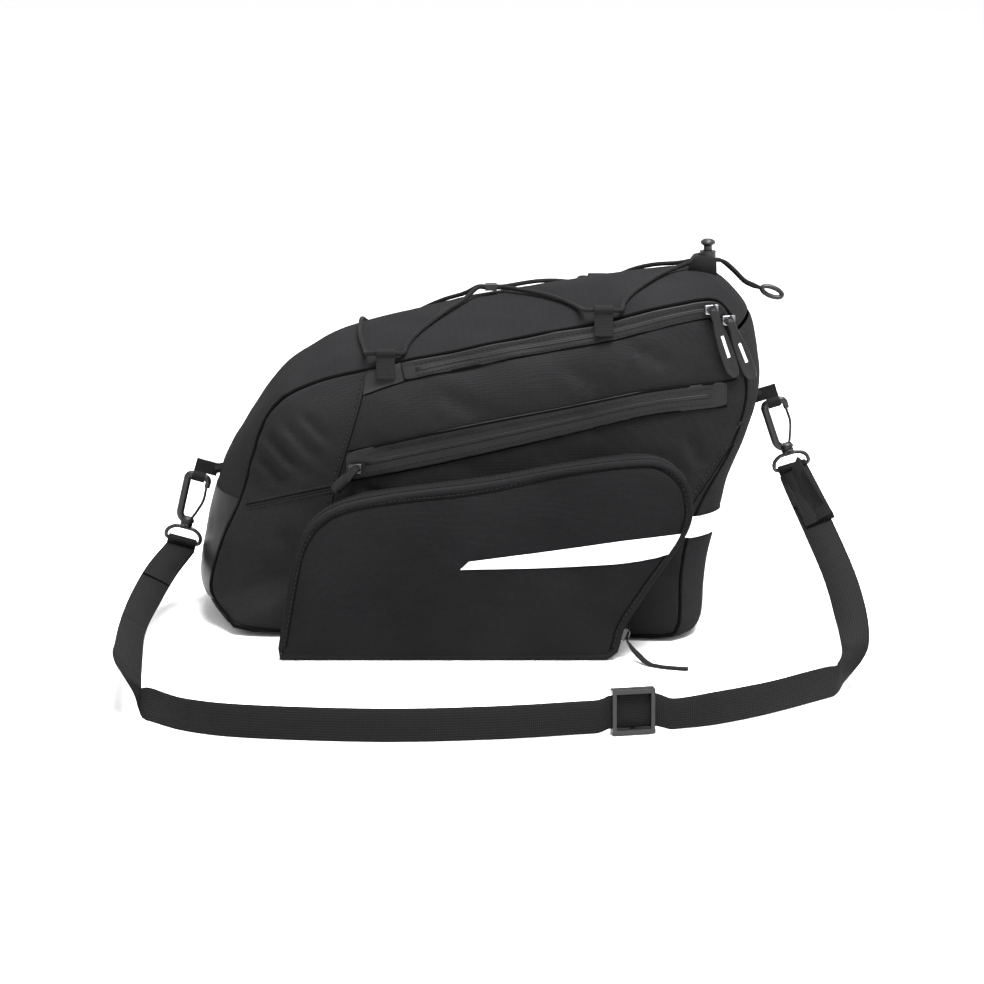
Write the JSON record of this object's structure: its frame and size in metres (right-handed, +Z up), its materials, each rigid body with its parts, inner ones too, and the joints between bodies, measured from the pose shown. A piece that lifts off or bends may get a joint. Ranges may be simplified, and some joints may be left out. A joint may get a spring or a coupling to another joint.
{
  "type": "bicycle trunk bag",
  "caption": "Black cloth rack-top bag with zipped body, side pouches, bungee cord on top and a hooked shoulder strap.",
  "frame": {"origin": "middle of the flat base, on its underside, where the bag sits on a rack", "axes": "+X towards the bag's tall rear end, +Y towards its right side, +Z up"},
  "size_m": [0.5418, 0.5028, 0.2911],
  "materials": {
    "ripstop": "woven ripstop cloth, matt black",
    "side_cloth": "coarse plain-weave nylon, matt black",
    "zip_flap": "coated zip flap, satin black",
    "webbing": "woven nylon webbing, black",
    "cord": "braided elastic cord, black",
    "plastic": "moulded plastic, black",
    "pull": "moulded pull, black with a light bar",
    "metal": "black-finished metal"
  },
  "bodies": {
    "bag": {"base_gusset": "ripstop", "bungee_cord": "cord", "cord_clip": "plastic", "cord_end_left": "cord", "cord_end_right": "cord", "cord_grip": "plastic", "front_cord_loop_left": "webbing", "front_cord_loop_right": "webbing", "front_hook": "plastic", "front_hook_eye": "metal", "front_hook_gate": "metal", "front_strap_end": "webbing", "front_tab": "webbing", "left_panel": "side_cloth", "left_pouch": "side_cloth", "left_pouch_ribbon": "webbing", "left_pouch_slider": "metal", "lock_barrel": "plastic", "lock_seat": "webbing", "main_zip_aft_pull": "pull", "main_zip_aft_slider": "metal", "main_zip_fore_pull": "pull", "main_zip_fore_slider": "metal", "main_zip_left": "zip_flap", "main_zip_right": "zip_flap", "rear_cord_loop_left": "webbing", "rear_cord_loop_right": "webbing", "rear_hook": "plastic", "rear_hook_eye": "metal", "rear_hook_gate": "metal", "rear_strap_end": "webbing", "rear_tab": "webbing", "right_panel": "side_cloth", "right_pouch": "side_cloth", "right_pouch_ribbon": "webbing", "right_pouch_slider": "metal", "shoulder_strap": "webbing", "side_zip_left": "zip_flap", "side_zip_left_pull": "pull", "side_zip_left_slider": "metal", "side_zip_right": "zip_flap", "side_zip_right_pull": "pull", "side_zip_right_slider": "metal", "strap_buckle": "plastic", "top_gusset": "ripstop"},
    "button": {"lock_button": "plastic"}
  },
  "joints": [
    {"name": "lock_press", "type": "slide", "parent": "bag", "child": "button", "axis": [0, 0, -1], "range_m": [0, 0.0028], "stiffness_N_per_m": 400}
  ]
}
